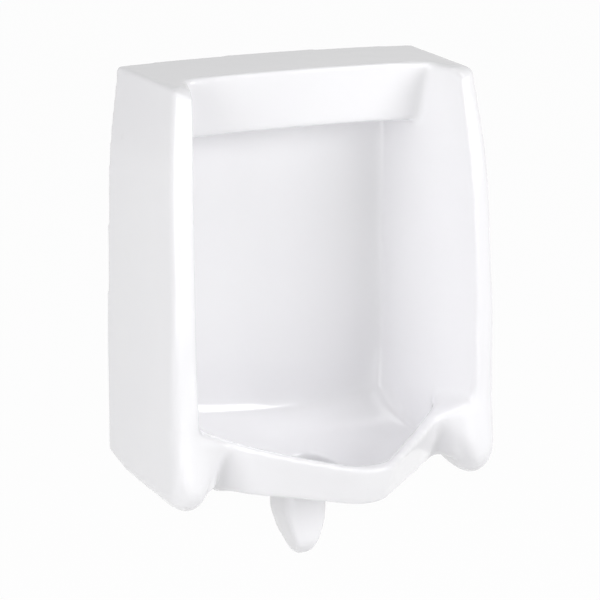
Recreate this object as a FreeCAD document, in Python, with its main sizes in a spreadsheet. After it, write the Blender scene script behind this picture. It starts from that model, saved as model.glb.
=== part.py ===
# Wall hung washout urinal with privacy wings, in millimetres.
#
# Heights in the sheet are measured up from the bottom of the trap, depths out from the wall, and
# half widths from the middle.  X runs to the right as the user sees it, Y into the wall and Z up.
# The origin is on the wall, in the middle of the four hanger screws, so every piece is lowered by
# hanger_height.
import FreeCAD, Part
import math
import os

Vector = FreeCAD.Vector
doc = FreeCAD.newDocument("wall_hung_urinal")

# ---------------------------------------------------------------- driving dimensions
SIZES = {
    # overall
    "overall_width": 479.0,
    "overall_height": 677.0,
    "china_wall": 11.0,
    "hanger_height": "=overall_height - 84",
    # stations of the outer skin, from the foot up
    "foot_level": 114.0, "groove_level": 171.0, "ledge_level": 219.0,
    "waist_level": "=ledge_level + 108", "chest_level": "=overall_height - 172",
    "neck_level": "=overall_height - 84",
    "foot_reach": 236.0, "groove_reach": 232.0, "ledge_reach": 226.5, "waist_reach": 219.0,
    "chest_reach": 208.5, "neck_reach": 197.0, "crown_reach": 184.0,
    "foot_thick": 49.5, "groove_thick": 48.5, "ledge_thick": 39.5, "waist_thick": 36.0,
    "chest_thick": 37.5, "neck_thick": 42.1, "crown_thick": 47.0,
    "foot_inner_reach": 235.0, "groove_inner_reach": 230.0, "ledge_inner_reach": 224.0,
    "waist_inner_reach": 221.0, "chest_inner_reach": 213.0, "neck_inner_reach": 202.0,
    "crown_inner_reach": 191.5,
    "foot_groove_depth": 66.0, "mid_groove_depth": 36.0, "ledge_groove_depth": 5.0,
    "groove_half": "=recess_back_half + 8",
    "front_draw_in": 5.5,
    "shoulder_draw_in": 20.0,
    "wing_outer_round": 13.0, "wing_inner_round": 4.0, "foot_round": 22.0,
    # side view
    "top_fall": 4.0, "top_fall_run": 150.0, "top_crown": 4.5, "top_corner_round": 46.0,
    "top_side_round": 8.0,
    "rear_lower_level": "=web_level + 25", "mid_lower_level": "=web_level + 10.5",
    "web_level": "=foot_level + 12",
    "toe_round": 28.0, "toe_inner_round": 22.0, "toe_side_round": 46.0,
    "notch_level": "=foot_level + 27",
    # front recess between the wings
    "recess_back_half": "=overall_width / 2 - 90.5", "recess_corner_depth": 46.0,
    "recess_middle_depth": 35.0,
    "recess_corner_round": 9.0, "front_clearance": 390.0,
    # header
    "header_lower_level": "=overall_height - 85", "header_lower_depth": 113.0,
    "header_lean": 20.0, "header_end_round": 5.0,
    # lip and bowl
    "lip_bottom_level": "=web_level + 3", "lip_bottom_reach": 330.0, "lip_lean": 0.46,
    "lip_root_half": "=recess_back_half + 12", "lip_nose_round": 46.0,
    "rim_front_level": "=rim_ledge_level - 34.5", "rim_mid_level": "=rim_ledge_level - 22",
    "rim_ledge_level": "=ledge_level",
    "bowl_reach": "=lip_bottom_reach - 2", "bowl_nose_round": 34.0, "bowl_side_round": 80.0,
    "bowl_side_depth": 141.0, "bowl_floor_level": "=web_level + 3",
    "bowl_centre_depth": "=bowl_half_length + 33.5",
    "bowl_half_length": 145.0, "bowl_half_breadth": 300.0, "bowl_half_height": 99.0,
    # trap
    "trap_half_width": 30.0, "trap_front_depth": "=strainer_depth - 12",
    "trap_rear_depth": "=trap_front_depth - 64",
    "trap_passage_half": "=trap_half_width - trap_wall - 0.5", "trap_wall": 8.5,
    "trap_leg": 20.0, "trap_dip_level": 35.0, "trap_edge_round": 12.0,
    "trap_keel_half": 9.0, "trap_keel_round": 12.0, "trap_taper_level": 62.0,
    "trap_taper_round": 50.0, "trap_toe_round": 34.0, "trap_heel_level": 30.0,
    "outlet_level": "=web_level - 21", "outlet_bore_radius": 21.0,
    "horn_radius": "=outlet_bore_radius + 9",
    # strainer seat
    "strainer_depth": 139.0, "strainer_radius": 34.0, "strainer_gap": 2.0,
    "strainer_seat_level": "=bowl_floor_level - 10", "strainer_sheet": 2.0, "strainer_rise": 5.0,
    "strainer_hole_radius": 2.5, "strainer_recess_height": 40.0,
    "bridge_length": "=2 * strainer_radius - 4", "bridge_width": 12.0, "bridge_thick": 5.0,
    "bridge_gap": 0.3,
    "screw_radius": 2.5, "screw_head_radius": 6.0, "screw_head_height": 2.6,
    "screw_length": 16.0, "screw_slot": 1.2, "running_gap": 0.05,
    # outlet connection
    "horn_face_depth": 24.0, "horn_ear_thick": 12.0, "horn_flange_radius": "=horn_radius + 1",
    "flange_radius": 37.0, "ear_radius": 12.0, "bolt_spacing": 114.0,
    "ear_hole_radius": "=bolt_radius + 1", "outlet_gasket_thick": 5.0, "flange_thick": 7.0,
    "hub_radius": "=pipe_thread_radius + 4.5", "pipe_thread_radius": 29.5,
    "bolt_radius": 4.0, "bolt_length": 42.0, "bolt_head_radius": 8.5, "bolt_head_height": 5.0,
    "bolt_gap": 0.4, "washer_radius": 9.0, "washer_thick": 1.6, "nut_flats": 13.0,
    "nut_height": 6.5,
    # inlet
    "inlet_level": "=overall_height - 47.2", "inlet_face_depth": 24.0,
    "inlet_seat_radius": 27.0, "inlet_hole_radius": "=spud_radius + 4.2", "spud_radius": 13.3,
    "spud_end_radius": 12.7, "spud_bore_radius": 10.0,
    "spud_head_radius": 20.5, "spud_head_thick": 3.0, "spud_tail_gap": 3.0,
    "inlet_gasket_lip": 4.0, "friction_ring_thick": 1.5, "friction_ring_radius": 20.0,
    "locknut_height": 9.0, "locknut_flats": 38.0,
    # header chamber
    "header_chamber_inset": 10.0, "header_chamber_round": 5.0, "flush_hole_count": 11,
    "flush_hole_pitch": 22.0, "flush_hole_radius": 3.5,
    # hangers
    "hanger_spacing": "=overall_width - 139", "hanger_hole_pitch": 40.0, "hanger_hole_radius": 4.0,
    "hanger_width": 60.0, "hanger_sheet": 4.0, "hanger_drop": 70.0, "hanger_rise": 38.0,
    "hanger_lip_height": 18.0, "hanger_throat": 13.6, "web_face_depth": 4.8,
    "web_half_length": 44.0, "web_height": 32.0,
    # planes where the one fired piece is parted into its cast sections
    "wing_split_half": "=recess_back_half - 7", "header_split_level": "=header_lower_level - 14",
    "bowl_split_level": "=rim_ledge_level - 11", "trap_split_level": "=strainer_seat_level - 7",
    "horn_split_depth": "=trap_rear_depth - 1", "horn_split_level": "=web_level + 10.2",
    "trap_split_half": 80.0,
}


def make_sheet():
    """Every size gets a cell with its name; a text value is a formula of other sizes."""
    made = doc.addObject("Spreadsheet::Sheet", "Sizes")
    for row, alias in enumerate(SIZES, start=1):
        made.set("A%d" % row, alias)
        made.setAlias("B%d" % row, alias)
    for row, value in enumerate(SIZES.values(), start=1):
        made.set("B%d" % row, value if isinstance(value, str) else "%g" % value)
    doc.recompute()
    return made


sheet = make_sheet()


def size(alias):
    return float(sheet.get(alias))


# ---------------------------------------------------------------- outlines
def rounded_edges(corners, place):
    """Edges of a closed outline; each corner is (u, v, radius) and place lifts it into space."""
    points = [FreeCAD.Vector(u, v, 0) for u, v, r in corners]
    count = len(points)
    ends = []
    for i, (u, v, radius) in enumerate(corners):
        here = points[i]
        back = (points[i - 1] - here).normalize()
        ahead = (points[(i + 1) % count] - here).normalize()
        if radius <= 0:
            ends.append((here, None, here))
            continue
        half = back.getAngle(ahead) / 2
        reach = radius / math.tan(half)
        middle = (back + ahead).normalize() * (radius / math.sin(half) - radius)
        ends.append((here + back * reach, here + middle, here + ahead * reach))
    edges = []
    for i in range(count):
        start, middle, end = ends[i]
        if middle is not None:
            edges.append(Part.Arc(place(start), place(middle), place(end)).toShape())
        following = ends[(i + 1) % count][0]
        edges.append(Part.LineSegment(place(end), place(following)).toShape())
    return edges


def outline(corners, place):
    return Part.Wire(rounded_edges(corners, place))


def plan(corners, level):
    return outline(corners, lambda p: Vector(p.x, p.y, level))


def side_face(corners, half_width):
    """Face of a (depth, height) outline, at the right-hand end of a slab of this half width."""
    return Part.Face(outline(corners, lambda p: Vector(-half_width, p.x, p.y)))


def slab(corners, half_width):
    return side_face(corners, half_width).extrude(Vector(2 * half_width, 0, 0))


def grown(corners, growth):
    """The outline with every side moved out by growth; the corners run anticlockwise."""
    count = len(corners)
    result = []
    for i, (u, v, radius) in enumerate(corners):
        u0, v0, r0 = corners[i - 1]
        u1, v1, r1 = corners[(i + 1) % count]
        first = Vector(u - u0, v - v0, 0).normalize()
        second = Vector(u1 - u, v1 - v, 0).normalize()
        turn = first.x * second.y - first.y * second.x
        step = growth * (1 - first.dot(second)) / turn if abs(turn) > 1e-6 else 0.0
        normal = Vector(first.y, -first.x, 0)
        moved = Vector(u, v, 0) + normal * growth + first * step
        change = growth if turn > 0 else -growth
        result.append((moved.x, moved.y, max(radius + change, 0.5) if radius > 0 else 0))
    return result


def mirrored(right_half):
    """Anticlockwise outline from its right-hand corners, listed from the front to the rear."""
    left_half = [(-u, v, radius) for u, v, radius in reversed(right_half)]
    return right_half + left_half


def loft(wires):
    return Part.makeLoft(wires, True, False)


# ---------------------------------------------------------------- china: outer skin
def half_width_at(level):
    """Rear half width: nearly straight low down, drawn in towards the shoulders."""
    foot = size("rear_lower_level")
    share = max(0.0, (level - foot) / (size("overall_height") - foot))
    return size("overall_width") / 2 - size("shoulder_draw_in") * share ** 3.6


def stations():
    """Front of the skin at each station: level, outer reach, inner half, inner reach, groove."""
    top = size("overall_height")
    rows = []
    names = ["foot", "groove", "ledge", "waist", "chest", "neck", "crown"]
    grooves = [size("foot_groove_depth"), size("mid_groove_depth"), size("ledge_groove_depth"),
               0, 0, 0, 0]
    for name, groove in zip(names, grooves):
        level = top if name == "crown" else size(name + "_level")
        inner_half = size("overall_width") / 2 - size(name + "_thick")
        rows.append((level, size(name + "_reach"), inner_half, size(name + "_inner_reach"),
                     groove))
    return rows


def skin_plan(row, growth):
    level, reach, inner_half, inner_reach, groove = row
    half = half_width_at(level)
    low = level < size("waist_level")
    outer_round = size("foot_round") - 4 if low else size("wing_outer_round")
    inner_round = size("foot_round") if low else size("wing_inner_round")
    if level == size("ledge_level"):
        inner_round = size("foot_round") / 2
    right = [
        (size("groove_half"), groove - inner_reach, 0),
        (inner_half, -inner_reach, inner_round),
        (half - size("front_draw_in"), -reach, outer_round),
        (half, 0.0 if growth == 0 else -3 * growth, 0),
    ]
    return grown(mirrored(right), growth)


def skin(growth):
    wires = []
    for row in stations():
        wires.append(plan(skin_plan(row, growth), row[0]))
    wires.insert(0, wires[0].copy())
    wires[0].translate(Vector(0, 0, -30))
    wires.append(wires[-1].copy())
    wires[-1].translate(Vector(0, 0, 30))
    return loft(wires)


def side_profile(growth):
    """Side view that trims the skin: top slope, front corner, lower edge and toe."""
    top = size("overall_height") - 0.72 * size("top_crown")
    slope = size("top_fall") / size("top_fall_run")
    header_front = size("header_lower_depth") + size("header_lean") + 5
    corner = size("crown_reach") + 13
    foot = size("foot_level")
    reach = size("foot_reach") - 1
    rear = 0.0 if growth == 0 else -3 * growth
    corners = [
        (rear, size("rear_lower_level"), 0),
        (rear, top + 20, 0),
        (-header_front, top + 20, 0),
        (-header_front, top - slope * header_front, 0),
        (-corner, top - slope * corner, size("top_corner_round")),
        (-reach - 26, size("waist_level") + 60, 0),
        (-reach, foot, size("toe_side_round")),
        (-size("neck_reach") + 10, foot, 30),
        (-size("top_fall_run"), size("web_level") + 1, 60),
        (-60, size("mid_lower_level"), 60),
    ]
    return grown(corners, growth)


def crown_block(growth):
    """Everything under the crowned top, with its rounded side edges, falling to the front."""
    top = size("overall_height") + growth
    half = half_width_at(size("overall_height")) + growth + 2.5
    edge = top - size("top_crown")
    fall = size("top_fall") / size("top_fall_run")
    reach = 300.0
    sections = []
    for depth, draw in ((30.0, 0.0), (-reach, size("front_draw_in") * 1.6)):
        drop = fall * -depth
        width = half - draw
        turn = size("top_side_round")
        lift = Vector(0, depth, -drop)
        low = Vector(width + 40, depth, edge - drop - 150)
        shoulder = Vector(width, depth, edge - drop - turn)
        knee = Vector(width - turn * 0.3, depth, edge - drop - turn * 0.3)
        inner = Vector(width - turn, depth, edge - drop + 0.4)
        flip = lambda p: Vector(-p.x, p.y, p.z)
        base = Vector(low.x, depth, 0)
        edges = [
            Part.LineSegment(base, low).toShape(),
            Part.LineSegment(low, shoulder).toShape(),
            Part.Arc(shoulder, knee, inner).toShape(),
            Part.Arc(inner, Vector(0, depth, top - drop), flip(inner)).toShape(),
            Part.Arc(flip(inner), flip(knee), flip(shoulder)).toShape(),
            Part.LineSegment(flip(shoulder), flip(low)).toShape(),
            Part.LineSegment(flip(low), flip(base)).toShape(),
            Part.LineSegment(flip(base), base).toShape(),
        ]
        sections.append(Part.Wire(edges))
    return Part.makeLoft(sections, True, True)


def toe_cutters():
    """Trims the bottom of each wing to a rounded foot along the side panel, with a notch inside."""
    turn = size("toe_round")
    inner = size("toe_inner_round")
    foot = size("foot_level")
    web = size("web_level")
    notch = size("notch_level")
    half = half_width_at(foot)
    reach = 300.0
    draw = size("front_draw_in") / size("foot_reach") * reach
    bow = math.sqrt(0.5)
    cutters = []
    for side in (1, -1):
        def at(offset, level):
            return Vector(side * (half + offset), 0, level)
        root = size("lip_root_half") - half
        corners = [at(-turn - inner, foot + inner), at(-turn - inner, notch), at(root, notch),
                   at(root, web), at(-half, web), at(-half, foot - turn), at(turn, foot - turn),
                   at(turn, foot + turn), at(0, foot + turn)]
        edges = [
            Part.Arc(at(0, foot + turn), at(bow * turn - turn, foot + turn - bow * turn),
                     at(-turn, foot)).toShape(),
            Part.Arc(at(-turn, foot), at(-turn - bow * inner, foot + inner - bow * inner),
                     at(-turn - inner, foot + inner)).toShape(),
        ]
        for first, second in zip(corners, corners[1:]):
            edges.append(Part.LineSegment(first, second).toShape())
        face = Part.Face(Part.Wire(edges))
        cutters.append(face.extrude(Vector(-side * draw, -reach, 0)))
    return cutters


def outer_block(growth):
    wide = size("overall_width")
    block = skin(growth).common(slab(side_profile(growth), wide)).common(crown_block(growth))
    if growth == 0:
        for cutter in toe_cutters():
            block = block.cut(cutter)
        return block
    keep = Part.makeBox(4 * wide, 4 * wide, size("overall_height"),
                        Vector(-2 * wide, -2 * wide, size("notch_level") - growth))
    return block.common(keep)


# ---------------------------------------------------------------- china: recess and bowl
def recess_plan(row, growth):
    level, reach, inner_half, inner_reach, groove = row
    back = size("recess_back_half")
    corner = size("recess_corner_depth")
    spread = (inner_half - back) / (inner_reach - corner)
    front = size("front_clearance")
    right = [
        (back + spread * (front - corner), -front, 0),
        (back, -corner, size("recess_corner_round")),
        (back * 0.4, -size("recess_middle_depth"), 500),
    ]
    return grown(mirrored(right), growth)


def recess_column(growth):
    rows = stations()[2:]
    wires = [plan(recess_plan(row, growth), row[0]) for row in rows]
    low = wires[0].copy()
    low.translate(Vector(0, 0, 90 - rows[0][0]))
    high = wires[-1].copy()
    high.translate(Vector(0, 0, 40))
    body = loft(wires + [high])
    return body.fuse(loft([low, wires[0]]))


def rim_curve(depth, growth):
    """Top of the rim seen from the front: dips in the middle, climbs to the wings."""
    ledge = size("overall_width") / 2 - size("ledge_thick")
    front = size("rim_front_level") - growth
    middle = size("rim_mid_level") - growth
    high = size("rim_ledge_level") - growth
    right = [(0.3 * ledge, front + (middle - front) * 0.35), (0.6 * ledge, middle),
             (0.77 * ledge, middle + (high - middle) * 0.42), (0.9 * ledge, high - 3),
             (ledge + 40, high + 1)]
    points = [(-x, level) for x, level in reversed(right)] + [(0.0, front)] + right
    curve = Part.BSplineCurve()
    curve.interpolate([Vector(x, depth, level) for x, level in points])
    return curve.toShape(), points


def above_rim(growth):
    depth = 30.0
    edge, points = rim_curve(depth, growth)
    left = Vector(points[0][0], depth, points[0][1])
    right = Vector(points[-1][0], depth, points[-1][1])
    high = size("overall_height") + 60
    up = [Vector(right.x, depth, high), Vector(left.x, depth, high)]
    edges = [edge, Part.LineSegment(right, up[0]).toShape(),
             Part.LineSegment(up[0], up[1]).toShape(), Part.LineSegment(up[1], left).toShape()]
    return Part.Face(Part.Wire(edges)).extrude(Vector(0, -430, 0))


def bowl_hollow(growth):
    reach = size("bowl_reach")
    knee = size("bowl_side_depth")
    right = [(reach - knee, -knee, size("bowl_side_round")), (reach - knee + 16, 40, 0)]
    corners = [(0, -reach, size("bowl_nose_round"))] + mirrored(right)
    column = Part.Face(plan(grown(corners, growth), 60)).extrude(Vector(0, 0, 190))
    height = size("bowl_half_height")
    centre = size("bowl_floor_level") + height
    ball = Part.makeSphere(1.0, Vector(0, 0, 0), Vector(1, 0, 0))
    matrix = FreeCAD.Matrix()
    matrix.scale(size("bowl_half_breadth") + growth, size("bowl_half_length") + growth,
                 height + growth)
    matrix.move(Vector(0, -size("bowl_centre_depth"), centre))
    return column.common(ball.transformGeometry(matrix))


def header_front_cutter():
    """The space in front of the header, whose face leans out to the top."""
    low = size("header_lower_level")
    lean = size("header_lean") / (size("overall_height") - low)
    back = size("recess_back_half")
    corner = size("recess_corner_depth")
    front = size("front_clearance")
    wires = []
    for row, level in ((stations()[-2], low - 12), (stations()[-1], size("overall_height") + 40)):
        depth = size("header_lower_depth") + lean * (level - low)
        spread = (row[2] - back) / (row[3] - corner)
        right = [
            (back + spread * (front - corner), -front, 0),
            (back + spread * (depth - corner), -depth, size("header_end_round")),
        ]
        wires.append(plan(mirrored(right), level))
    return Part.makeLoft(wires, True, True)


def below_header():
    """Space under the header, with the underside bowed like the top."""
    low = size("header_lower_level")
    half = size("overall_width")
    drop = size("top_crown") * (half / (half_width_at(size("overall_height")))) ** 2
    depth = 30.0
    left = Vector(-half, depth, low - drop)
    right = Vector(half, depth, low - drop)
    edges = [Part.Arc(left, Vector(0, depth, low), right).toShape(),
             Part.LineSegment(right, Vector(half, depth, 0)).toShape(),
             Part.LineSegment(Vector(half, depth, 0), Vector(-half, depth, 0)).toShape(),
             Part.LineSegment(Vector(-half, depth, 0), left).toShape()]
    return Part.Face(Part.Wire(edges)).extrude(Vector(0, -430, 0))


def recess(growth):
    column = recess_column(growth)
    return column.common(above_rim(growth).fuse(bowl_hollow(growth)))


def lip_column(root, back):
    """Pointed plan of the lip, leaning out as it rises, from the foot up past the rim."""
    bottom = size("lip_bottom_level")
    wires = []
    for level in (size("strainer_seat_level") - 60, size("rim_ledge_level") + 12):
        reach = size("lip_bottom_reach") + size("lip_lean") * (level - bottom)
        right = [(root, root - reach, 0), (root, back, 0)]
        wires.append(plan([(0, -reach, size("lip_nose_round"))] + mirrored(right), level))
    return Part.makeLoft(wires, True, True)


def lip():
    """Pointed lip: leaning faces and rounded nose, between its lower edge and the rim."""
    root = size("lip_root_half")
    body = lip_column(root, root + 30 - size("lip_bottom_reach"))
    wide = size("overall_width")
    above = Part.makeBox(2 * wide, 2 * wide, wide,
                         Vector(-wide, -2 * wide, size("lip_bottom_level")))
    return body.common(above).cut(above_rim(0))


# ---------------------------------------------------------------- china: trap and outlet
def trap_block():
    """Outside of the trap: a chin below the bowl and a horn back to the wall."""
    half = size("trap_half_width")
    front = size("trap_front_depth")
    rear = size("trap_rear_depth")
    turn = size("trap_edge_round")
    high = size("bowl_floor_level") + 24
    throat_half = size("strainer_radius") + size("trap_wall")
    strainer = size("strainer_depth")
    corners = [
        (-rear, size("trap_heel_level"), 14),
        (-rear, high, 0),
        (-strainer - throat_half, high, 0),
        (-strainer - throat_half, size("strainer_seat_level") - 12, 12),
        (-front, size("strainer_seat_level") - 30, 10),
        (-front, 0, size("trap_toe_round")),
        (-front + size("trap_toe_round") + 4, 0, 8),
    ]
    chin = slab(corners, half)
    from_above = [(-half, -front, turn), (half, -front, turn), (half, 0, 0), (-half, 0, 0)]
    chin_sides = Part.Face(plan(from_above, -10)).extrude(Vector(0, 0, high + 20))
    chin = chin.common(chin_sides).common(keel_prism(0))
    neck = Part.makeCylinder(throat_half, 34, Vector(0, -strainer, size("strainer_seat_level") - 10))
    horn = Part.makeCylinder(size("horn_radius"), rear + 18 - size("horn_face_depth"),
                             Vector(0, -rear - 18, size("outlet_level")), Vector(0, 1, 0))
    return chin.fuse([neck, horn, ear_plate()])


def keel_prism(growth):
    """Everything inside the trap's tongue-shaped front view, from the wall out past the trap."""
    half = size("trap_half_width")
    keel = size("trap_keel_half")
    top = size("overall_height") / 2
    right = [
        (keel, 0, size("trap_keel_round")),
        (half, size("trap_taper_level"), size("trap_taper_round")),
        (half, top, 0),
    ]
    face = Part.Face(outline(grown(mirrored(right), growth), lambda p: Vector(p.x, 20, p.y)))
    return face.extrude(Vector(0, -300, 0))


def ear_plate():
    """Flange with two ears at the wall end of the horn."""
    level = size("outlet_level")
    depth = -size("horn_face_depth")
    reach = -size("horn_ear_thick")
    centre = Vector(0, depth, level)
    plate = Part.makeCylinder(size("horn_flange_radius"), -reach, centre, Vector(0, -1, 0))
    ear = size("ear_radius")
    span = size("bolt_spacing") / 2
    for side in (1, -1):
        tip = Part.makeCylinder(ear, -reach, Vector(side * span, depth, level), Vector(0, -1, 0))
        arm = Part.makeBox(span, -reach, 2 * ear,
                           Vector(0 if side > 0 else -span, depth + reach, level - ear))
        plate = plate.fuse([tip, arm])
    return plate.removeSplitter()


def trap_passage():
    """Waterway: throat under the strainer, leg down, dip, leg up over the weir, horn bore."""
    half = size("trap_passage_half")
    wall = size("trap_wall")
    leg = size("trap_leg")
    front = size("trap_front_depth") - wall
    dip = size("trap_dip_level")
    level = size("outlet_level")
    bore = size("outlet_bore_radius")
    rear = front - 2 * leg - wall
    throat = size("strainer_radius") - 9
    strainer = size("strainer_depth")
    seat = size("strainer_seat_level")
    corners = [
        (-rear, size("trap_heel_level") + wall / 2, 8),
        (-rear, level - bore, 0),
        (-rear + 6, level - bore, 0),
        (-rear + 6, level + bore, 0),
        (-rear - leg, level + bore, 4),
        (-rear - leg, dip, 3.5),
        (-front + leg, dip, 3.5),
        (-front + leg, seat - 22, 8),
        (-strainer + throat - 2, seat - 2, 0),
        (-strainer + throat - 2, seat + 4, 0),
        (-strainer - throat + 2, seat + 4, 0),
        (-strainer - throat + 2, seat - 4, 4),
        (-front, seat - 34, 10),
        (-front, wall, 18),
        (-front + leg + 4, wall, 5),
    ]
    ways = slab(corners, half).common(keel_prism(-wall))
    bore_cut = Part.makeCylinder(bore, rear + 30, Vector(0, -rear, level), Vector(0, 1, 0))
    return ways.fuse(bore_cut)


# ---------------------------------------------------------------- china: header chamber
def header_chamber():
    wall = size("china_wall")
    low = size("header_lower_level") + wall
    high = size("overall_height") - size("top_crown") - 1.2 * wall
    lean = size("header_lean") / (size("overall_height") - size("header_lower_level"))
    front = size("header_lower_depth") - wall
    rear = size("inlet_face_depth") + wall
    tilt = size("top_fall") / size("top_fall_run")
    turn = size("header_chamber_round")
    corners = [
        (-rear, low, turn),
        (-rear, high - tilt * rear, turn),
        (-front - lean * (high - low) * 0.85, high - tilt * front - 2, turn),
        (-front, low, turn),
    ]
    return slab(corners, size("recess_back_half") - size("header_chamber_inset"))


def hanging_webs():
    """China ledges behind the wings that drop over the wall hangers."""
    shelf = size("hanger_height") - size("hanger_drop") + size("hanger_sheet")
    webs = []
    for side in (1, -1):
        centre = side * size("hanger_spacing") / 2
        inner = centre - side * size("web_half_length")
        outer = centre + side * size("web_half_length")
        web = Part.makeBox(2 * size("web_half_length"), size("china_wall"), size("web_height"),
                           Vector(min(inner, outer), -size("web_face_depth") - size("china_wall"),
                                  shelf))
        side_x = min(inner, inner - side * size("china_wall"))
        rib = Part.makeBox(size("china_wall"), size("recess_corner_depth") - 4, size("web_height"),
                           Vector(side_x, -size("recess_corner_depth"), shelf))
        wide = size("overall_width")
        clear_of_wall = Part.makeBox(2 * wide, wide, size("overall_height"),
                                     Vector(-wide, -wide - size("web_face_depth"), 0))
        rib = rib.common(clear_of_wall)
        outer_x = outer if side > 0 else outer - 60
        tail = Part.makeBox(60, size("china_wall"), size("web_height"),
                            Vector(outer_x, -size("web_face_depth") - size("china_wall"), shelf))
        webs += [web, rib, tail]
    return webs


def make_china():
    block = outer_block(0)
    wall = size("china_wall")
    hollow = outer_block(-wall).cut(recess(wall))
    webs = [web.common(block) for web in hanging_webs()]
    bowl_skin = recess_column(wall).common(bowl_hollow(wall))
    bowl_skin = bowl_skin.common(lip_column(size("lip_bottom_reach") - 60, 20))
    shell = block.cut(hollow)
    shell = shell.fuse([lip(), bowl_skin, trap_block()] + webs)
    front = recess_column(0).common(above_rim(0)).common(below_header())
    basin = recess_column(0).common(bowl_hollow(0)).common(below_header())
    for cutter in (front, basin, header_front_cutter(), trap_passage(), header_chamber()):
        shell = shell.cut(cutter)
    return shell


# ---------------------------------------------------------------- document objects
nodes = []


def node(obj, label):
    """Marks an object as one finished piece; its label names its file."""
    obj.Label = label
    nodes.append(obj)
    return obj


def place(obj, x="0", y="0", z="0", axis="z"):
    """Puts a primitive's base point at the given expressions, its length along x, y, -y or z."""
    turns = {"z": (Vector(0, 0, 1), 0), "-z": (Vector(1, 0, 0), 180), "y": (Vector(1, 0, 0), -90),
             "-y": (Vector(1, 0, 0), 90), "x": (Vector(0, 1, 0), 90)}
    about, angle = turns[axis]
    obj.Placement = FreeCAD.Placement(Vector(0, 0, 0), FreeCAD.Rotation(about, angle))
    obj.setExpression("Placement.Base.x", x)
    obj.setExpression("Placement.Base.y", y)
    obj.setExpression("Placement.Base.z", z)
    return obj


def cylinder(name, radius, height, **where):
    obj = doc.addObject("Part::Cylinder", name)
    obj.setExpression("Radius", radius)
    obj.setExpression("Height", height)
    return place(obj, **where)


def cone(name, radius1, radius2, height, **where):
    obj = doc.addObject("Part::Cone", name)
    obj.setExpression("Radius1", radius1)
    obj.setExpression("Radius2", radius2)
    obj.setExpression("Height", height)
    return place(obj, **where)


def block(name, length, width, height, **where):
    obj = doc.addObject("Part::Box", name)
    obj.setExpression("Length", length)
    obj.setExpression("Width", width)
    obj.setExpression("Height", height)
    return place(obj, **where)


def prism(name, flats, height, **where):
    """Hexagon, given across its flats."""
    obj = doc.addObject("Part::Prism", name)
    obj.Polygon = 6
    obj.setExpression("Circumradius", "(%s) / 2 / cos(30 deg)" % flats)
    obj.setExpression("Height", height)
    return place(obj, **where)


def cut(name, base, tool):
    obj = doc.addObject("Part::Cut", name)
    obj.Base = base
    obj.Tool = tool
    return obj


def fuse(name, pieces):
    obj = doc.addObject("Part::MultiFuse", name)
    obj.Shapes = pieces
    obj.Refine = True
    return obj


def common(name, base, tool):
    obj = doc.addObject("Part::Common", name)
    obj.Base = base
    obj.Tool = tool
    return obj


def level(expression):
    """Height above the trap's bottom, as a height from the origin."""
    return "%s - Sizes.hanger_height" % expression


# ---------------------------------------------------------------- china body
blank = doc.addObject("Part::Feature", "china_blank")
blank.Shape = make_china()
blank.setExpression("Placement.Base.z", "-Sizes.hanger_height")

inlet_hole = cylinder("inlet_hole", "Sizes.inlet_hole_radius", "60", y="-60", axis="y",
                      z=level("Sizes.inlet_level"))
inlet_hole.setExpression("Placement.Base.y", "-Sizes.inlet_face_depth - 30")
inlet_seat = cylinder("inlet_seat", "Sizes.inlet_seat_radius", "Sizes.inlet_face_depth + 1",
                      y="-Sizes.inlet_face_depth", axis="y", z=level("Sizes.inlet_level"))
rinse = []
for position in range(int(size("flush_hole_count"))):
    offset = "(%d - (Sizes.flush_hole_count - 1) / 2) * Sizes.flush_hole_pitch" % position
    bow = "(Sizes.recess_corner_depth - Sizes.recess_middle_depth)"
    depth = "-(Sizes.recess_middle_depth + %s * (%s / Sizes.recess_back_half)^2)" % (bow, offset)
    rinse.append(cylinder("rinse_hole_%02d" % position, "Sizes.flush_hole_radius",
                          "Sizes.china_wall + 24", x=offset,
                          y=depth + " - 3 * Sizes.flush_hole_radius",
                          z=level("Sizes.header_lower_level - 14")))
ear_holes = []
for side, sign in (("left", "-"), ("right", "")):
    ear_holes.append(cylinder("ear_hole_" + side, "Sizes.ear_hole_radius",
                              "Sizes.horn_ear_thick + 4", x=sign + "Sizes.bolt_spacing / 2",
                              y="-Sizes.horn_face_depth - Sizes.horn_ear_thick - 2", axis="y",
                              z=level("Sizes.outlet_level")))
seat_recess = cylinder("strainer_recess", "Sizes.strainer_radius + Sizes.strainer_gap",
                       "Sizes.strainer_recess_height", y="-Sizes.strainer_depth",
                       z=level("Sizes.strainer_seat_level"))
bridge_slot = block("bridge_slot", "Sizes.bridge_length + 2 * Sizes.bridge_gap",
                    "Sizes.bridge_width + 2 * Sizes.bridge_gap", "Sizes.bridge_thick + 1",
                    x="-Sizes.bridge_length / 2 - Sizes.bridge_gap",
                    y="-Sizes.strainer_depth - Sizes.bridge_width / 2 - Sizes.bridge_gap",
                    z=level("Sizes.strainer_seat_level - Sizes.bridge_thick"))
drillings = fuse("china_drillings",
                 [inlet_hole, inlet_seat, seat_recess, bridge_slot] + rinse + ear_holes)
china = cut("china", blank, drillings)


def region(name, half, rear, front, low, high):
    """A box about the middle plane: half width, rear and front depth, lower and upper level."""
    return block(name, "2 * (%s)" % half, "(%s) - (%s)" % (front, rear),
                 "(%s) - (%s)" % (high, low), x="-(%s)" % half, y="-(%s)" % front, z=level(low))


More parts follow.
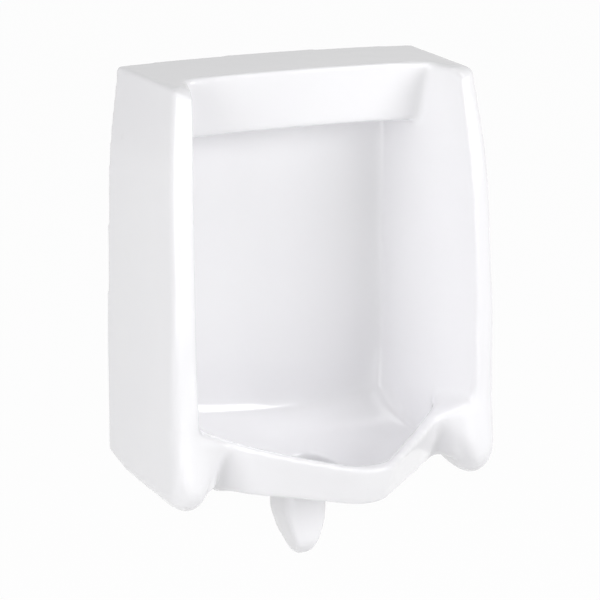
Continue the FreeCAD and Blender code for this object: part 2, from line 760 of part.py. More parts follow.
REAR = "-10"
FRONT = "2 * Sizes.overall_width"
BELOW = "-10"
ABOVE = "Sizes.overall_height + 10"
middle = "Sizes.wing_split_half"
header_split = "Sizes.header_split_level"
bowl_split = "Sizes.bowl_split_level"
for side, sign in (("left", "-"), ("right", "")):
    wing_box = block("wing_box_" + side, "Sizes.overall_width", "2 * (%s)" % FRONT,
                     "(%s) - (%s)" % (ABOVE, BELOW), y="-(%s)" % FRONT, z=level(BELOW),
                     x=middle if sign == "" else "-%s - Sizes.overall_width" % middle)
    node(common("wing_" + side, china, wing_box), "china_wing_" + side)
node(common("header", china, region("header_box", middle, REAR, FRONT, header_split, ABOVE)),
     "china_header")
node(common("back", china, region("back_box", middle, REAR, FRONT, bowl_split, header_split)),
     "china_back")
bowl_box = region("bowl_box", middle, REAR, FRONT, BELOW, bowl_split)
chin_box = region("chin_box", "Sizes.trap_split_half", REAR, FRONT, BELOW,
                  "Sizes.trap_split_level")
horn_box = region("horn_box", "Sizes.trap_split_half", REAR, "Sizes.horn_split_depth", BELOW,
                  "Sizes.horn_split_level")
trap_region = fuse("trap_region", [chin_box, horn_box])
node(common("trap", china, trap_region), "china_trap")
node(cut("bowl", common("bowl_and_trap", china, bowl_box), trap_region), "china_bowl")

# ---------------------------------------------------------------- strainer, screw and bridge
seat = "Sizes.strainer_seat_level"
strainer_y = "-Sizes.strainer_depth"


def make_strainer():
    """Domed perforated disc with a flat rim, a countersunk middle and rings of round holes."""
    radius = size("strainer_radius")
    sheet_thick = size("strainer_sheet")
    rise = size("strainer_rise")
    flat = radius - 5
    hub = size("screw_head_radius") + 2
    seat_level = size("strainer_seat_level")
    depth = -size("strainer_depth")

    def at(r, z):
        return Vector(r, depth, seat_level + z)

    bore = size("screw_radius") + size("running_gap") * 4
    middle = (flat + hub) / 2
    bulge = rise * 0.62
    edges = [
        Part.LineSegment(at(bore, rise), at(hub, rise)).toShape(),
        Part.Arc(at(hub, rise), at(middle, bulge), at(flat, 0)).toShape(),
        Part.LineSegment(at(flat, 0), at(radius, 0)).toShape(),
        Part.LineSegment(at(radius, 0), at(radius, sheet_thick)).toShape(),
        Part.LineSegment(at(radius, sheet_thick), at(flat, sheet_thick)).toShape(),
        Part.Arc(at(flat, sheet_thick), at(middle, bulge + sheet_thick),
                 at(hub, rise + sheet_thick)).toShape(),
        Part.LineSegment(at(hub, rise + sheet_thick), at(bore, rise + sheet_thick)).toShape(),
        Part.LineSegment(at(bore, rise + sheet_thick), at(bore, rise)).toShape(),
    ]
    disc = Part.Face(Part.Wire(edges)).revolve(Vector(0, depth, 0), Vector(0, 0, 1), 360)
    hole = size("strainer_hole_radius")
    pitch = 2 * hole + 2.4
    holes = []
    for ring in range(int((flat - hole - 1 - hub) / pitch) + 1):
        ring_radius = hub + hole + 1 + ring * pitch
        if ring_radius + hole > flat - 0.5:
            break
        around = int(2 * math.pi * ring_radius / pitch)
        for i in range(around):
            angle = 2 * math.pi * (i + 0.5 * (ring % 2)) / around
            centre = Vector(ring_radius * math.cos(angle), depth + ring_radius * math.sin(angle),
                            seat_level - 2)
            holes.append(Part.makeCylinder(hole, rise + sheet_thick + 6, centre))
    return disc.cut(holes)


strainer = doc.addObject("Part::Feature", "strainer_plate")
strainer.Shape = make_strainer()
strainer.setExpression("Placement.Base.z", "-Sizes.hanger_height")
node(strainer, "strainer")

bridge_bar = block("bridge_bar", "Sizes.bridge_length", "Sizes.bridge_width",
                   "Sizes.bridge_thick - Sizes.bridge_gap", x="-Sizes.bridge_length / 2",
                   y=strainer_y + " - Sizes.bridge_width / 2",
                   z=level(seat + " - Sizes.bridge_thick"))
bridge_bore = cylinder("bridge_bore", "Sizes.screw_radius + Sizes.running_gap",
                       "Sizes.bridge_thick + 4", y=strainer_y,
                       z=level(seat + " - Sizes.bridge_thick - 2"))
node(cut("bridge", bridge_bar, bridge_bore), "strainer_bridge")

screw_top = seat + " + Sizes.strainer_rise + Sizes.strainer_sheet"
shank = cylinder("screw_shank", "Sizes.screw_radius", "Sizes.screw_length", y=strainer_y,
                 axis="-z", z=level(screw_top + " + Sizes.running_gap"))
head = cone("screw_head_cone", "Sizes.screw_head_radius", "Sizes.screw_head_radius * 0.72",
            "Sizes.screw_head_height", y=strainer_y,
            z=level(screw_top + " + Sizes.running_gap"))
slot = block("screw_slot_tool", "4 * Sizes.screw_head_radius", "Sizes.screw_slot",
             "Sizes.screw_head_height", x="-2 * Sizes.screw_head_radius",
             y=strainer_y + " - Sizes.screw_slot / 2",
             z=level(screw_top + " + Sizes.running_gap + Sizes.screw_head_height * 0.45"))
node(cut("screw", fuse("screw_solid", [shank, head]), slot), "strainer_screw")

# ---------------------------------------------------------------- inlet spud
inlet = level("Sizes.inlet_level")
chamber_face = "(Sizes.inlet_face_depth + Sizes.china_wall)"
nut_face = "(Sizes.inlet_face_depth - Sizes.friction_ring_thick - Sizes.locknut_height)"
thread = cylinder("spud_thread", "Sizes.spud_radius",
                  chamber_face + " + Sizes.inlet_gasket_lip - " + nut_face,
                  y="-" + chamber_face + " - Sizes.inlet_gasket_lip", axis="y", z=inlet)
tail = cylinder("spud_tail", "Sizes.spud_end_radius", nut_face + " - Sizes.spud_tail_gap",
                y="-" + nut_face, axis="y", z=inlet)
spud_head = cylinder("spud_flare", "Sizes.spud_head_radius", "Sizes.spud_head_thick",
                     y="-" + chamber_face + " - Sizes.inlet_gasket_lip", axis="-y", z=inlet)
spud_bore = cylinder("spud_bore", "Sizes.spud_bore_radius",
                     chamber_face + " + Sizes.inlet_gasket_lip + 40",
                     y="-" + chamber_face + " - Sizes.inlet_gasket_lip - 20", axis="y", z=inlet)
node(cut("spud", fuse("spud_solid", [thread, tail, spud_head]), spud_bore), "inlet_spud")

gasket_lip = cylinder("inlet_gasket_flange", "Sizes.spud_head_radius", "Sizes.inlet_gasket_lip",
                      y="-" + chamber_face, axis="-y", z=inlet)
gasket_cone = cone("inlet_gasket_cone", "Sizes.inlet_hole_radius", "Sizes.inlet_hole_radius - 1.4",
                   "Sizes.china_wall - 1.5", y="-" + chamber_face, axis="y", z=inlet)
gasket_bore = cylinder("inlet_gasket_bore", "Sizes.spud_radius", chamber_face + " + 40",
                       y="-" + chamber_face + " - 20", axis="y", z=inlet)
node(cut("inlet_rubber", fuse("inlet_gasket_solid", [gasket_lip, gasket_cone]), gasket_bore),
     "inlet_gasket")


def ring(name, label, outer, bore, height, **where):
    body = cylinder(name + "_outer", outer, height, **where)
    hole = cylinder(name + "_bore", bore, height, **where)
    return node(cut(name, body, hole), label)


ring("friction", "inlet_friction_ring", "Sizes.friction_ring_radius", "Sizes.spud_radius",
     "Sizes.friction_ring_thick", y="-Sizes.inlet_face_depth", axis="y", z=inlet)
ring_y = "-Sizes.inlet_face_depth + Sizes.friction_ring_thick"
locknut_hex = prism("locknut_hexagon", "Sizes.locknut_flats", "Sizes.locknut_height", y=ring_y,
                    axis="y", z=inlet)
locknut_turned = cone("locknut_chamfer", "Sizes.locknut_flats / 2 * 1.14",
                      "Sizes.locknut_flats / 2 * 1.02", "Sizes.locknut_height", y=ring_y,
                      axis="y", z=inlet)
locknut_bore = cylinder("locknut_bore", "Sizes.spud_radius", "Sizes.locknut_height", y=ring_y,
                        axis="y", z=inlet)
node(cut("locknut", common("locknut_solid", locknut_hex, locknut_turned), locknut_bore),
     "inlet_locknut")

# ---------------------------------------------------------------- outlet flange and its bolts
outlet = level("Sizes.outlet_level")
gasket_face = "(Sizes.horn_face_depth)"
flange_face = "(Sizes.horn_face_depth - Sizes.outlet_gasket_thick)"
plate_rear = "(Sizes.horn_face_depth - Sizes.outlet_gasket_thick - Sizes.flange_thick)"
ring("outlet_seal", "outlet_gasket", "Sizes.horn_flange_radius", "Sizes.outlet_bore_radius + 1",
     "Sizes.outlet_gasket_thick", y="-" + gasket_face, axis="y", z=outlet)

flange_disc = cylinder("flange_disc", "Sizes.flange_radius", "Sizes.flange_thick",
                       y="-" + flange_face, axis="y", z=outlet)
flange_hub = cylinder("flange_hub", "Sizes.hub_radius", flange_face, y="-" + flange_face,
                      axis="y", z=outlet)
flange_arm = block("flange_arm", "Sizes.bolt_spacing", "Sizes.flange_thick",
                   "2 * Sizes.ear_radius", x="-Sizes.bolt_spacing / 2", y="-" + flange_face,
                   z=level("Sizes.outlet_level - Sizes.ear_radius"))
flange_pieces = [flange_disc, flange_hub, flange_arm]
flange_holes = [cylinder("flange_thread", "Sizes.pipe_thread_radius", plate_rear + " + 1",
                         y="-" + plate_rear, axis="y", z=outlet),
                cylinder("flange_waterway", "Sizes.outlet_bore_radius + 2", flange_face + " + 1",
                         y="-" + flange_face + " - 1", axis="y", z=outlet)]
for side, sign in (("left", "-"), ("right", "")):
    bolt_x = sign + "Sizes.bolt_spacing / 2"
    flange_pieces.append(cylinder("flange_ear_" + side, "Sizes.ear_radius", "Sizes.flange_thick",
                                  x=bolt_x, y="-" + flange_face, axis="y", z=outlet))
    flange_holes.append(cylinder("flange_hole_" + side, "Sizes.bolt_radius + Sizes.bolt_gap",
                                 "Sizes.flange_thick + 4", x=bolt_x, y="-" + flange_face + " - 2",
                                 axis="y", z=outlet))
node(cut("flange", fuse("flange_solid", flange_pieces), fuse("flange_bores", flange_holes)),
     "outlet_flange")

ear_front = "(Sizes.horn_face_depth + Sizes.horn_ear_thick)"
washer_front = ear_front[:-1] + " + Sizes.washer_thick)"
for side, sign in (("left", "-"), ("right", "")):
    bolt_x = sign + "Sizes.bolt_spacing / 2"
    stem = cylinder("bolt_stem_" + side, "Sizes.bolt_radius", "Sizes.bolt_length", x=bolt_x,
                    y="-" + plate_rear, axis="-y", z=outlet)
    bolt_head = cylinder("bolt_head_" + side, "Sizes.bolt_head_radius", "Sizes.bolt_head_height",
                         x=bolt_x, y="-" + plate_rear, axis="y", z=outlet)
    node(fuse("bolt_" + side, [stem, bolt_head]), "outlet_bolt_" + side)
    ring("washer_" + side, "outlet_washer_" + side, "Sizes.washer_radius",
         "Sizes.bolt_radius + Sizes.bolt_gap", "Sizes.washer_thick", x=bolt_x,
         y="-" + ear_front, axis="-y", z=outlet)
    hexagon = prism("nut_hexagon_" + side, "Sizes.nut_flats", "Sizes.nut_height", x=bolt_x,
                    y="-" + washer_front, axis="-y", z=outlet)
    turned = cone("nut_chamfer_" + side, "Sizes.nut_flats / 2 * 1.14", "Sizes.nut_flats / 2 * 1.03",
                  "Sizes.nut_height", x=bolt_x, y="-" + washer_front, axis="-y", z=outlet)
    bore = cylinder("nut_bore_" + side, "Sizes.bolt_radius", "Sizes.nut_height", x=bolt_x,
                    y="-" + washer_front, axis="-y", z=outlet)
    node(cut("nut_" + side, common("nut_solid_" + side, hexagon, turned), bore),
         "outlet_nut_" + side)

# ---------------------------------------------------------------- wall hangers
for side, sign in (("left", "-"), ("right", "")):
    middle = "(%sSizes.hanger_spacing / 2)" % sign
    edge = middle + " - Sizes.hanger_width / 2"
    plate = block("hanger_plate_" + side, "Sizes.hanger_width", "Sizes.hanger_sheet",
                  "Sizes.hanger_drop + Sizes.hanger_rise", x=edge, y="-Sizes.hanger_sheet",
                  z="-Sizes.hanger_drop")
    shelf = block("hanger_shelf_" + side, "Sizes.hanger_width",
                  "Sizes.hanger_throat + 2 * Sizes.hanger_sheet", "Sizes.hanger_sheet", x=edge,
                  y="-Sizes.hanger_throat - 2 * Sizes.hanger_sheet", z="-Sizes.hanger_drop")
    tongue = block("hanger_tongue_" + side, "Sizes.hanger_width", "Sizes.hanger_sheet",
                   "Sizes.hanger_lip_height", x=edge,
                   y="-Sizes.hanger_throat - 2 * Sizes.hanger_sheet", z="-Sizes.hanger_drop")
    holes = []
    for row, row_sign in (("upper", ""), ("lower", "-")):
        holes.append(cylinder("hanger_hole_%s_%s" % (side, row), "Sizes.hanger_hole_radius",
                              "Sizes.hanger_sheet + 2", x=middle, y="-Sizes.hanger_sheet - 1",
                              axis="y", z=row_sign + "Sizes.hanger_hole_pitch / 2"))
    node(cut("hanger_" + side, fuse("hanger_solid_" + side, [plate, shelf, tongue]),
             fuse("hanger_holes_" + side, holes)), "wall_hanger_" + side)

# ---------------------------------------------------------------- checks and files
doc.recompute()
for obj in doc.Objects:
    if "Invalid" in obj.State or "Error" in obj.State:
        raise RuntimeError("failed object: " + obj.Name)
os.makedirs("parts", exist_ok=True)
for piece in nodes:
    shape = piece.Shape
    if shape.isNull() or not shape.isValid() or not shape.Solids:
        raise RuntimeError("bad shape: " + piece.Label)
    print("%-22s solids %d volume %.0f" % (piece.Label, len(shape.Solids), shape.Volume))
    shape.exportStep("parts/%s.step" % piece.Label)
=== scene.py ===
import bmesh
import bpy
import math
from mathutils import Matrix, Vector


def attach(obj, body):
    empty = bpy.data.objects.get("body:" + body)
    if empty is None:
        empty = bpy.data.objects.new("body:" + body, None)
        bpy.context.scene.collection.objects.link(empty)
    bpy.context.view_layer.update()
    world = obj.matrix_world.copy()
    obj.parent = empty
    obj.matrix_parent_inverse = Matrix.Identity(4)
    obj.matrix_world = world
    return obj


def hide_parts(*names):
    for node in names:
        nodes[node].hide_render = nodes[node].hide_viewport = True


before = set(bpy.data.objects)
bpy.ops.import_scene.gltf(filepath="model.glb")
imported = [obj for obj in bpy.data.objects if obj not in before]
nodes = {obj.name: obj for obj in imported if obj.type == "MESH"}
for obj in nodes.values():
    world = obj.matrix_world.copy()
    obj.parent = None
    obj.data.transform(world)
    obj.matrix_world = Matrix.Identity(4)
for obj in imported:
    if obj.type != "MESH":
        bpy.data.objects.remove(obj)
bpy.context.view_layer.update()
scene = bpy.context.scene


# ------------------------------------------------------------------ shader maths
class Value:
    """A node socket that holds numbers, so that sums read as sums."""

    def __init__(self, shop, socket):
        self.shop = shop
        self.socket = socket

    def _join(self, operation, first, second):
        return self.shop.add("ShaderNodeMath", {"operation": operation}, {0: first, 1: second})

    def __add__(self, other):
        return self._join("ADD", self, other)

    def __radd__(self, other):
        return self._join("ADD", other, self)

    def __mul__(self, other):
        return self._join("MULTIPLY", self, other)

    def __rmul__(self, other):
        return self._join("MULTIPLY", other, self)


class Finish:
    """One material and the nodes that make it."""

    def __init__(self, name):
        self.material = bpy.data.materials.new(name)
        self.material.use_nodes = True
        self.tree = self.material.node_tree
        self.tree.nodes.clear()
        self.place = self.add("ShaderNodeTexCoord", {}, {}, "Object")

    def node(self, kind, settings, inputs):
        """A node of this type: its settings first, then values or links of its sockets."""
        made = self.tree.nodes.new(kind)
        for key, setting in settings.items():
            setattr(made, key, setting)
        for key, given in inputs.items():
            if isinstance(given, Value):
                self.tree.links.new(given.socket, made.inputs[key])
            else:
                made.inputs[key].default_value = given
        return made

    def add(self, kind, settings, inputs, output=0):
        """The named or numbered output of a new node."""
        return Value(self, self.node(kind, settings, inputs).outputs[output])

    def noise(self, scale, detail=3.0, roughness=0.5, stretch=(1.0, 1.0, 1.0)):
        where = self.add("ShaderNodeMapping", {}, {"Vector": self.place, "Scale": stretch})
        return self.add("ShaderNodeTexNoise", {}, {
            "Vector": where, "Scale": scale, "Detail": detail, "Roughness": roughness}, "Fac")

    def between(self, value, low, high, to_low=0.0, to_high=1.0):
        """The value's place from low to high, as a number from to_low to to_high."""
        return self.add("ShaderNodeMapRange", {"clamp": True}, {
            "Value": value, "From Min": low, "From Max": high,
            "To Min": to_low, "To Max": to_high})

    def blend(self, share, first, second):
        return self.add("ShaderNodeMix", {"data_type": "RGBA"}, {
            "Factor": share, 6: first, 7: second}, 2)

    def bump(self, height, distance, strength):
        return self.add("ShaderNodeBump", {}, {
            "Height": height, "Distance": distance, "Strength": strength})

    def surface(self, **sockets):
        """Ends the material in a Principled shader; socket names are written with underscores."""
        inputs = {key.replace("_", " "): given for key, given in sockets.items()}
        shader = self.add("ShaderNodeBsdfPrincipled", {}, inputs)
        self.node("ShaderNodeOutputMaterial", {}, {"Surface": shader})
        return self.material


# ------------------------------------------------------------------ finishes
GLAZE_SHADES = ((0.85, 0.845, 0.868, 1), (0.872, 0.87, 0.885, 1))
STEEL_SHADES = ((0.66, 0.66, 0.67, 1), (0.56, 0.565, 0.57, 1))
BRASS_SHADES = ((0.76, 0.58, 0.29, 1), (0.55, 0.39, 0.19, 1))
RUBBER_SHADES = ((0.022, 0.022, 0.024, 1), (0.06, 0.058, 0.055, 1))
ZINC_SHADES = ((0.5, 0.52, 0.54, 1), (0.66, 0.68, 0.7, 1))
PAPER_SHADES = ((0.9, 0.9, 0.9, 1), (0.895, 0.895, 0.895, 1))
WHITE = (1, 1, 1, 1)


def glazed_china():
    """White vitreous china under a clear glaze with faint ripples."""
    kit = Finish("glazed_china")
    ripple = kit.noise(scale=9.0, detail=2.0, roughness=0.45)
    orange_peel = kit.noise(scale=85.0, detail=2.0, roughness=0.5)
    cloud = kit.noise(scale=3.2, detail=3.0, roughness=0.55)
    tint = kit.between(cloud, low=0.3, high=0.7)
    colour = kit.blend(tint, *GLAZE_SHADES)
    wear = kit.noise(scale=14.0, detail=4.0, roughness=0.6)
    gloss = kit.between(wear, low=0.3, high=0.75, to_low=0.13, to_high=0.2)
    height = ripple * 0.75 + orange_peel * 0.07
    return kit.surface(Base_Color=colour, Roughness=gloss, IOR=1.5, Coat_Weight=0.2,
                       Coat_Roughness=0.04,
                       Normal=kit.bump(height, distance=0.0009, strength=0.35))


def brushed_strainer():
    """Stainless steel with a fine brushed grain and water marks."""
    kit = Finish("brushed_strainer")
    grain = kit.noise(scale=420.0, detail=3.0, roughness=0.6, stretch=(1.0, 0.06, 1.0))
    stains = kit.noise(scale=60.0, detail=4.0, roughness=0.6)
    marks = kit.between(stains, low=0.42, high=0.62)
    colour = kit.blend(marks, *STEEL_SHADES)
    gloss = kit.between(grain, low=0.25, high=0.75, to_low=0.2, to_high=0.38)
    return kit.surface(Base_Color=colour, Metallic=1.0, Roughness=gloss,
                       Normal=kit.bump(grain, distance=0.00008, strength=0.5))


def satin_brass():
    """Machined brass with turned marks and a little tarnish."""
    kit = Finish("satin_brass")
    turning = kit.noise(scale=300.0, detail=2.0, roughness=0.5, stretch=(0.3, 1.0, 0.3))
    patches = kit.noise(scale=40.0, detail=4.0, roughness=0.6)
    tarnish = kit.between(patches, low=0.4, high=0.68)
    colour = kit.blend(tarnish, *BRASS_SHADES)
    gloss = kit.between(turning, low=0.2, high=0.8, to_low=0.24, to_high=0.42) + tarnish * 0.1
    return kit.surface(Base_Color=colour, Metallic=1.0, Roughness=gloss,
                       Normal=kit.bump(turning, distance=0.00006, strength=0.5))


def black_rubber():
    """Moulded rubber, dusty and slightly grained."""
    kit = Finish("black_rubber")
    grain = kit.noise(scale=700.0, detail=2.0, roughness=0.6)
    patches = kit.noise(scale=35.0, detail=4.0, roughness=0.6)
    dust = kit.between(patches, low=0.45, high=0.7)
    colour = kit.blend(dust, *RUBBER_SHADES)
    gloss = kit.between(grain, low=0.2, high=0.8, to_low=0.6, to_high=0.82)
    return kit.surface(Base_Color=colour, Roughness=gloss,
                       Normal=kit.bump(grain, distance=0.00012, strength=0.6))


def zinc_plate():
    """Galvanised steel sheet with a soft spangle."""
    kit = Finish("zinc_plate")
    spangle = kit.add("ShaderNodeTexVoronoi", {}, {"Vector": kit.place, "Scale": 170.0}, "Color")
    shade = kit.add("ShaderNodeSeparateColor", {}, {0: spangle})
    scuff = kit.noise(scale=120.0, detail=4.0, roughness=0.65, stretch=(1.0, 1.0, 0.15))
    colour = kit.blend(shade, *ZINC_SHADES)
    return kit.surface(Base_Color=colour, Metallic=1.0, Roughness=0.3 + shade * 0.14,
                       Normal=kit.bump(scuff, distance=0.00008, strength=0.5))


# ------------------------------------------------------------------ the china as one mesh
# Lengths and places from here on are in metres, in the frame of the CAD.
CHINA = [name for name in nodes if name.startswith("china_")]
VOXEL = 0.0022
CHINA_TRIANGLES = 190000
PLANE_GAP = 2e-5
WELD_GAP = 1e-6

# Planes where the six stored sections of the china meet.
WING_SPLIT = 0.142
HEADER_SPLIT = -0.015
BOWL_SPLIT = -0.385
TRAP_SPLIT = -0.481
HORN_SPLIT = -0.4568
HORN_SPLIT_DEPTH = -0.062

# The rear wall at the ends of the header's chamber, which is only about one voxel thick.
CHAMBER_END = ((0.13, 0.1395), (-0.0405, -0.0345), (0.008, 0.064))
CHAMBER_REAR = -0.041
CHAMBER_DEPTH_KEPT = 0.1


def on_split(face):
    """Whether a face lies in one of the planes where two sections meet."""
    def flat(axis, level):
        return all(abs(v.co[axis] - level) < PLANE_GAP for v in face.verts)

    if flat(0, WING_SPLIT) or flat(0, -WING_SPLIT):
        return True
    levels = (HEADER_SPLIT, BOWL_SPLIT, TRAP_SPLIT, HORN_SPLIT)
    return any(flat(2, level) for level in levels) or flat(1, HORN_SPLIT_DEPTH)


def thicken_chamber_ends(form):
    """Draws the chamber's rear ends forward, so that the voxels don't break the wall."""
    wide, deep, high = CHAMBER_END
    for vertex in form.verts:
        p = vertex.co
        if wide[0] < abs(p.x) < wide[1] and deep[0] < p.y < deep[1] and high[0] < p.z < high[1]:
            p.y = CHAMBER_REAR + (p.y - CHAMBER_REAR) * CHAMBER_DEPTH_KEPT


def joined_china():
    """The six sections as one new mesh, without the faces between them."""
    form = bmesh.new()
    for name in CHINA:
        section = bmesh.new()
        section.from_mesh(nodes[name].data)
        section.transform(nodes[name].matrix_world)
        bmesh.ops.remove_doubles(section, verts=section.verts, dist=WELD_GAP)
        thicken_chamber_ends(section)
        between = [face for face in section.faces if on_split(face)]
        bmesh.ops.delete(section, geom=between, context="FACES")
        held = bpy.data.meshes.new(name + "_open")
        section.to_mesh(held)
        section.free()
        form.from_mesh(held)
        bpy.data.meshes.remove(held)
    mesh = bpy.data.meshes.new("china")
    form.to_mesh(mesh)
    form.free()
    piece = bpy.data.objects.new("china", mesh)
    scene.collection.objects.link(piece)
    return piece


def bake_modifiers(piece):
    """Applies every modifier of the piece to its mesh."""
    ready = piece.evaluated_get(bpy.context.evaluated_depsgraph_get())
    mesh = bpy.data.meshes.new_from_object(ready)
    piece.modifiers.clear()
    old = piece.data
    piece.data = mesh
    bpy.data.meshes.remove(old)


# ------------------------------------------------------------------ softened zones
BAND_CORE = 0.4


def ramp(value, low, high):
    """0 below low, 1 above high, smooth between."""
    share = min(1.0, max(0.0, (value - low) / (high - low)))
    return share * share * (3 - 2 * share)


def band(value, middle, reach):
    """1 near the middle, fading to 0 at this reach to either side."""
    return 1 - ramp(abs(value - middle), reach * BAND_CORE, reach)


FOOT_MIDDLE = 0.2095
FOOT_FRONT = -0.189
FOOT_TOP = -0.433
FOOT_REACH = (0.030, 0.046, 0.046)
FOOT_INSIDE = -0.03
FOOT_FADE = (0.16, 0.185)


def round_feet(piece):
    """Draws the front lower corners of the wings in to a rounded foot."""
    wide, deep, high = FOOT_REACH
    for vertex in piece.data.vertices:
        p = vertex.co
        out = abs(p.x) - FOOT_MIDDLE
        ahead = FOOT_FRONT - p.y
        down = FOOT_TOP - p.z
        if down <= 0 or out < FOOT_INSIDE or p.y > -FOOT_FADE[0]:
            continue
        ahead = max(0.0, ahead)
        beyond = math.sqrt((out / wide) ** 2 + (ahead / deep) ** 2 + (down / high) ** 2)
        if beyond <= 1:
            continue
        scale = 1 + (1 / beyond - 1) * ramp(-p.y, *FOOT_FADE)
        side = math.copysign(1.0, p.x)
        p.x = side * (FOOT_MIDDLE + out * scale)
        if ahead > 0:
            p.y = FOOT_FRONT - ahead * scale
        p.z = FOOT_TOP - down * scale


def everywhere(p):
    return 1.0


LIP_REAR = -0.15
RIM_HEIGHT = -0.409
ROLL_CEILING = -0.36
ROLL_REACH = (0.275, 0.3)
ROLL_RISE = (RIM_HEIGHT - 0.034, RIM_HEIGHT - 0.014)


def lip_roll_share(p):
    """1 on the lip's outer top edge, which is a full roll."""
    if p.y > LIP_REAR or p.z > ROLL_CEILING:
        return 0.0
    return ramp(abs(p.x) + abs(p.y), *ROLL_REACH) * ramp(p.z, *ROLL_RISE)


BOWL_HALF = 0.175
LIP_FOOT_CEILING = -0.435
LIP_FOOT_REACH = (0.28, 0.3)
LIP_FOOT_FALL = (-0.455, -0.438)


def lip_foot_share(p):
    """1 along the lip's lower edge."""
    if p.y > LIP_REAR or p.z > LIP_FOOT_CEILING or abs(p.x) > BOWL_HALF:
        return 0.0
    return ramp(abs(p.x) + abs(p.y), *LIP_FOOT_REACH) * (1 - ramp(p.z, *LIP_FOOT_FALL))


LEDGE_REAR = -0.12
LEDGE_SIDES = (0.12, 0.225)
LEDGE_FADE_OUT = (0.12, 0.14)
LEDGE_FALL = (-0.36, -0.34)


def ledge_share(p):
    """1 where the rim climbs to the wings and where the groove runs out below them."""
    if p.y > LEDGE_REAR or not LEDGE_SIDES[0] < abs(p.x) < LEDGE_SIDES[1]:
        return 0.0
    return (1 - ramp(p.z, *LEDGE_FALL)) * ramp(abs(p.x), *LEDGE_FADE_OUT)


BASIN_LEVELS = (-0.465, -0.3)
BASIN_FRONT = -0.2
BASIN_CREASE = -0.385
BASIN_CREASE_REACH = 0.055
BASIN_FADE_FRONT = (0.12, 0.2)
BASIN_FADE_REAR = (0.028, 0.034)


def basin_share(p):
    """1 along the crease where the back wall turns into the bowl."""
    if not BASIN_LEVELS[0] <= p.z <= BASIN_LEVELS[1] or p.y < BASIN_FRONT or abs(p.x) > BOWL_HALF:
        return 0.0
    crease = band(p.z, BASIN_CREASE, BASIN_CREASE_REACH)
    return crease * (1 - ramp(-p.y, *BASIN_FADE_FRONT)) * ramp(-p.y, *BASIN_FADE_REAR)


HEADER_REAR = -0.06
HEADER_FLOOR = -0.03
HEADER_END = (0.168, 0.035)
HEADER_EDGE = (0.0, 0.02)
HEADER_FADE_OUT = (0.15, 0.2)


def header_share(p):
    """1 at the ends and the lower edge of the header's face."""
    if p.y > HEADER_REAR or p.z < HEADER_FLOOR:
        return 0.0
    lower_edge = band(p.z, *HEADER_EDGE) * (1 - ramp(abs(p.x), *HEADER_FADE_OUT))
    return max(band(abs(p.x), *HEADER_END), lower_edge)


WING_INNER = 0.155
WING_FRONT_FADE = (0.13, 0.16)
WING_FOOT_FALL = (-0.45, -0.425)


def foot_share(p):
    """1 on the lower front of the wings."""
    if abs(p.x) < WING_INNER or p.y > -WING_FRONT_FADE[0]:
        return 0.0
    return (1 - ramp(p.z, *WING_FOOT_FALL)) * ramp(-p.y, *WING_FRONT_FADE)


# Each zone's name, how many times it is smoothed, and how strongly at each point.
SOFT_ZONES = (
    ("every_edge", 20, everywhere),
    ("lip_roll", 90, lip_roll_share),
    ("lip_foot", 40, lip_foot_share),
    ("ledge", 60, ledge_share),
    ("basin", 400, basin_share),
    ("header_edges", 60, header_share),
    ("feet", 30, foot_share),
)
SMOOTH_STEP = 0.5


def soften(piece, name, repeats, share):
    """Smooths the piece as strongly as share says at each point."""
    group = piece.vertex_groups.new(name=name)
    for vertex in piece.data.vertices:
        weight = share(vertex.co)
        if weight > 0:
            group.add([vertex.index], weight, "REPLACE")
    smooth = piece.modifiers.new(name, "SMOOTH")
    smooth.factor = SMOOTH_STEP
    smooth.iterations = repeats
    smooth.vertex_group = name
    bake_modifiers(piece)


def china_body():
    """The china as one glazed skin with rounded edges."""
    piece = joined_china()
    remesh = piece.modifiers.new("even_skin", "REMESH")
    remesh.mode = "VOXEL"
    remesh.voxel_size = VOXEL
    bake_modifiers(piece)
    round_feet(piece)
    for name, repeats, share in SOFT_ZONES:
        soften(piece, name, repeats, share)
    triangles = 2 * len(piece.data.polygons)
    thin = piece.modifiers.new("thin", "DECIMATE")
    thin.ratio = min(1.0, CHINA_TRIANGLES / triangles)
    bake_modifiers(piece)
    for face in piece.data.polygons:
        face.use_smooth = True
    piece.data.materials.clear()
    piece.data.materials.append(glazed_china())
    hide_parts(*CHINA)
    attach(piece, "root")


# ------------------------------------------------------------------ fittings
def finish_fittings():
    """The fittings keep their CAD forms and get their finishes."""
    looks = {"gasket": black_rubber(), "hanger": zinc_plate(), "strainer": brushed_strainer()}
    brass = satin_brass()
    for name, piece in nodes.items():
        if name in CHINA:
            continue
        look = next((looks[word] for word in looks if word in name), brass)
        piece.data.materials.clear()
        piece.data.materials.append(look)


# ------------------------------------------------------------------ stage
FLOOR_GLOW = 0.97
FLOOR_HEIGHT = -0.95
FLOOR_HALF = 8.0
WORLD_LEVEL = 0.34
LAMP_AIM = (0.0, -0.15, -0.25)
# Each lamp's name, place, power in watts, width and height.
LAMPS = (
    ("key", (1.7, -2.0, 0.6), 36, 1.2, 1.2),
    ("top", (-0.4, -0.7, 2.3), 14, 1.4, 1.4),
    ("fill_left", (-2.3, -1.3, 0.3), 34, 1.8, 2.0),
    ("front", (-0.6, -3.2, 0.0), 10, 2.2, 2.2),
)
CAMERA_AT = (-1.6739, -3.6293, 0.7007)
CAMERA_AIM = (-0.0229, -0.1478, -0.2244)
SENSOR = 36.0
FOCAL_LENGTH = 180.0


def put(name, data, at, aim):
    """A lamp or camera in the scene at this place, turned towards aim."""
    holder = bpy.data.objects.new(name, data)
    holder.location = at
    holder.rotation_euler = (Vector(aim) - Vector(at)).to_track_quat("-Z", "Y").to_euler()
    scene.collection.objects.link(holder)
    return holder


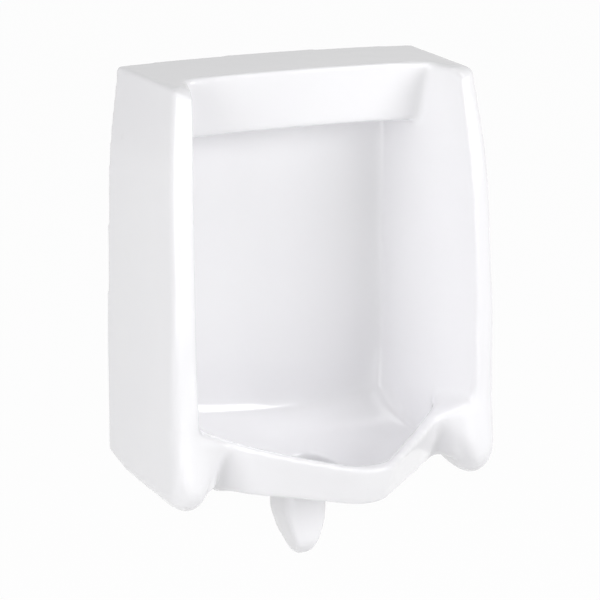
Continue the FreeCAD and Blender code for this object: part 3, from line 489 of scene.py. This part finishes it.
def floor_paper():
    """Pale paper, nearly pure white to the camera and in reflections, with a trace of shadow."""
    kit = Finish("floor_paper")
    shade = kit.blend(kit.noise(scale=2.0), *PAPER_SHADES)
    paper = kit.add("ShaderNodeBsdfPrincipled", {}, {"Base Color": shade, "Roughness": 0.9})
    white = kit.add("ShaderNodeEmission", {}, {"Color": WHITE, "Strength": 1.0})
    seen = kit.add("ShaderNodeLightPath", {}, {}, "Is Camera Ray")
    mirrored = kit.add("ShaderNodeLightPath", {}, {}, "Is Glossy Ray")
    through = kit.add("ShaderNodeLightPath", {}, {}, "Is Transmission Ray")
    share = (seen + mirrored + through) * FLOOR_GLOW
    mixed = kit.add("ShaderNodeMixShader", {}, {0: share, 1: paper, 2: white})
    kit.node("ShaderNodeOutputMaterial", {}, {"Surface": mixed})
    return kit.material


def paper_floor():
    """The plain floor below the urinal."""
    form = bmesh.new()
    bmesh.ops.create_grid(form, x_segments=1, y_segments=1, size=FLOOR_HALF)
    bmesh.ops.translate(form, verts=form.verts, vec=(0, 0, FLOOR_HEIGHT))
    mesh = bpy.data.meshes.new("floor")
    form.to_mesh(mesh)
    form.free()
    floor = bpy.data.objects.new("floor", mesh)
    mesh.materials.append(floor_paper())
    scene.collection.objects.link(floor)


def pale_world():
    """Light grey at full strength to the camera and in reflections, weaker as a lamp."""
    world = bpy.data.worlds.new("studio")
    scene.world = world
    world.use_nodes = True
    tree = world.node_tree
    tree.nodes.clear()
    path = tree.nodes.new("ShaderNodeLightPath")
    shown = path.outputs["Is Camera Ray"]
    for ray in ("Is Transmission Ray", "Is Glossy Ray"):
        either = tree.nodes.new("ShaderNodeMath")
        either.operation = "MAXIMUM"
        tree.links.new(shown, either.inputs[0])
        tree.links.new(path.outputs[ray], either.inputs[1])
        shown = either.outputs[0]
    strength = tree.nodes.new("ShaderNodeMapRange")
    strength.inputs["To Min"].default_value = WORLD_LEVEL
    tree.links.new(shown, strength.inputs["Value"])
    background = tree.nodes.new("ShaderNodeBackground")
    tree.links.new(strength.outputs[0], background.inputs["Strength"])
    out = tree.nodes.new("ShaderNodeOutputWorld")
    tree.links.new(background.outputs[0], out.inputs["Surface"])


def studio():
    """The world, the floor and the lamps."""
    pale_world()
    paper_floor()
    for name, at, power, wide, high in LAMPS:
        light = bpy.data.lights.new(name, "AREA")
        light.shape = "RECTANGLE"
        light.size = wide
        light.size_y = high
        light.energy = power
        put(name, light, at, LAMP_AIM)


def camera():
    """The camera that was fitted to the photo."""
    lens = bpy.data.cameras.new("camera")
    lens.sensor_width = SENSOR
    lens.lens = FOCAL_LENGTH
    scene.camera = put("camera", lens, CAMERA_AT, CAMERA_AIM)


scene.view_settings.view_transform = "Standard"
china_body()
finish_fittings()
studio()
camera()
